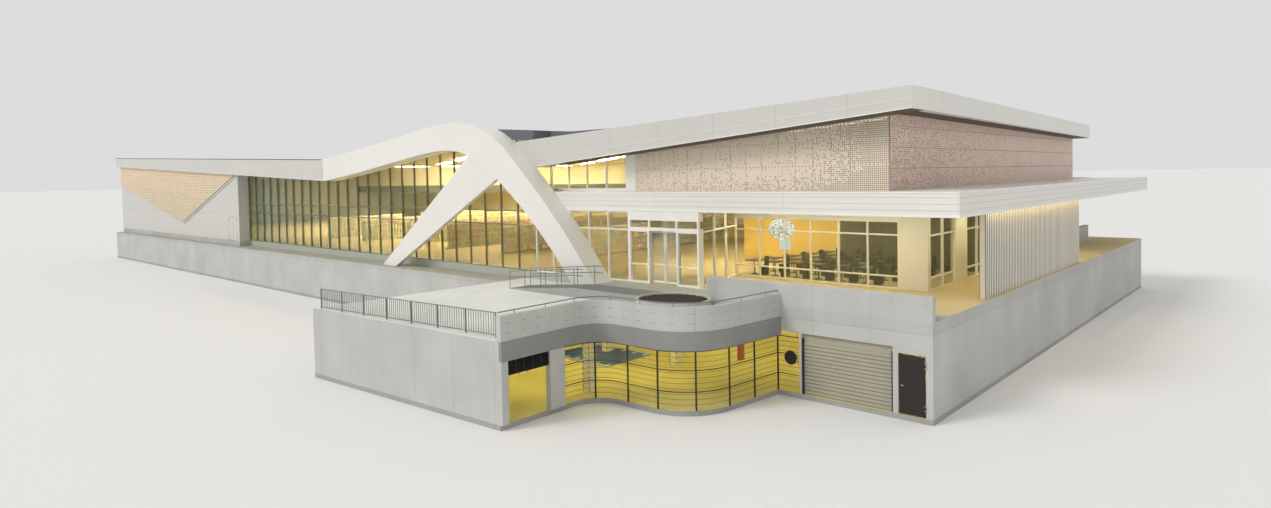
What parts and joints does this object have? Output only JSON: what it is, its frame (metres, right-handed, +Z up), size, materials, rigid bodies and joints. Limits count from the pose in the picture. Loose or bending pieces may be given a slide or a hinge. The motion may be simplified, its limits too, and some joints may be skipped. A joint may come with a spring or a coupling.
{
  "type": "supermarket building, 1:10 scale model",
  "caption": "Long low supermarket with a sweeping roof band, a leaning arch before a glass wall, perforated upper walls and a garage level. 1:10 scale model.",
  "frame": {"origin": "middle of the bounding box at the lowest level, under the garage floor", "axes": "+X along the front to the right, +Y into the depth, +Z up"},
  "size_m": [10.19, 5.035, 1.232],
  "materials": {
    "cast_concrete": "board-marked cast concrete with tie holes",
    "dark_concrete": "cast concrete, darker and stained",
    "floor_paving": "floated concrete floor",
    "white_cladding": "satin white metal panels with fine joints",
    "perforated_bronze": "bronze perforated metal panels",
    "cream_render": "smooth cream render",
    "glass": "clear float glass",
    "grey_frame": "satin grey-green aluminium",
    "white_frame": "white powder-coated aluminium",
    "roof_membrane": "dark grey roofing membrane",
    "grey_steel": "grey painted steel",
    "shutter_metal": "slatted roller shutter",
    "dark_door": "dark painted flush door",
    "plinth_stone": "grey rendered plinth",
    "column_paint": "painted concrete"
  },
  "bodies": {
    "building": {"arch": "white_cladding", "arch_left_leg": "white_cladding", "back_wall": "cream_render", "corner_wall": "cream_render", "door_hinges": "grey_steel", "entrance_ramp": "floor_paving", "front_canopy": "white_cladding", "front_cladding": "perforated_bronze", "front_ledge": "floor_paving", "garage_columns": "column_paint", "garage_lintel": "cast_concrete", "garage_piers": "cast_concrete", "garage_screen": "grey_steel", "ground_slab": "floor_paving", "left_end_wall": "cream_render", "left_wing_wall": "white_cladding", "main_frame": "grey_frame", "main_glass": "glass", "main_plinth": "plinth_stone", "main_roof": "roof_membrane", "pier_wall": "white_cladding", "podium_back_wall": "cast_concrete", "podium_end_walls": "cast_concrete", "podium_front_wall": "cast_concrete", "rear_low_wall": "cast_concrete", "rear_store_roof": "roof_membrane", "rear_store_walls": "cream_render", "right_fascia": "white_cladding", "right_roof": "roof_membrane", "roller_shutter": "shutter_metal", "roof_band": "white_cladding", "screen_wall": "white_cladding", "service_lintel": "white_cladding", "side_canopy": "white_cladding", "side_cladding": "perforated_bronze", "side_fascia": "white_cladding", "side_walls": "cream_render", "store_floor": "floor_paving", "terrace_corner_walls": "cast_concrete", "terrace_edge_beam": "dark_concrete", "terrace_front_wall": "cast_concrete", "terrace_ground_slab": "floor_paving", "terrace_left_wall": "cast_concrete", "terrace_parapet": "cast_concrete", "terrace_railing": "grey_steel", "terrace_slab": "floor_paving", "triangle_panel": "perforated_bronze", "upper_column": "white_cladding", "vent_grille": "grey_steel", "vestibule_head": "white_frame", "vestibule_screens": "white_frame", "window_frames": "white_frame", "window_glass": "glass"},
    "left_sliding_leaf": {"left_leaf": "white_frame"},
    "right_sliding_leaf": {"right_leaf": "white_frame"},
    "left_service_leaf": {"service_left_leaf": "white_cladding"},
    "right_service_leaf": {"service_right_leaf": "white_cladding"},
    "garage_leaf": {"garage_door": "dark_door"}
  },
  "joints": [
    {"name": "left_leaf_slide", "type": "slide", "parent": "building", "child": "left_sliding_leaf", "axis": [-1, 0, 0], "range_m": [0, 0.078]},
    {"name": "right_leaf_slide", "type": "slide", "parent": "building", "child": "right_sliding_leaf", "axis": [1, 0, 0], "range_m": [0, 0.078]},
    {"name": "left_service_hinge", "type": "hinge", "parent": "building", "child": "left_service_leaf", "pos_m": [-1.5525, -1.3751, 0], "axis": [0, 0, -1], "range_deg": [0, 90]},
    {"name": "right_service_hinge", "type": "hinge", "parent": "building", "child": "right_service_leaf", "pos_m": [-1.3625, -1.3751, 0], "axis": [0, 0, 1], "range_deg": [0, 90]},
    {"name": "garage_door_hinge", "type": "hinge", "parent": "building", "child": "garage_leaf", "pos_m": [5.0325, -1.4501, 0], "axis": [0, 0, 1], "range_deg": [0, 90]}
  ]
}
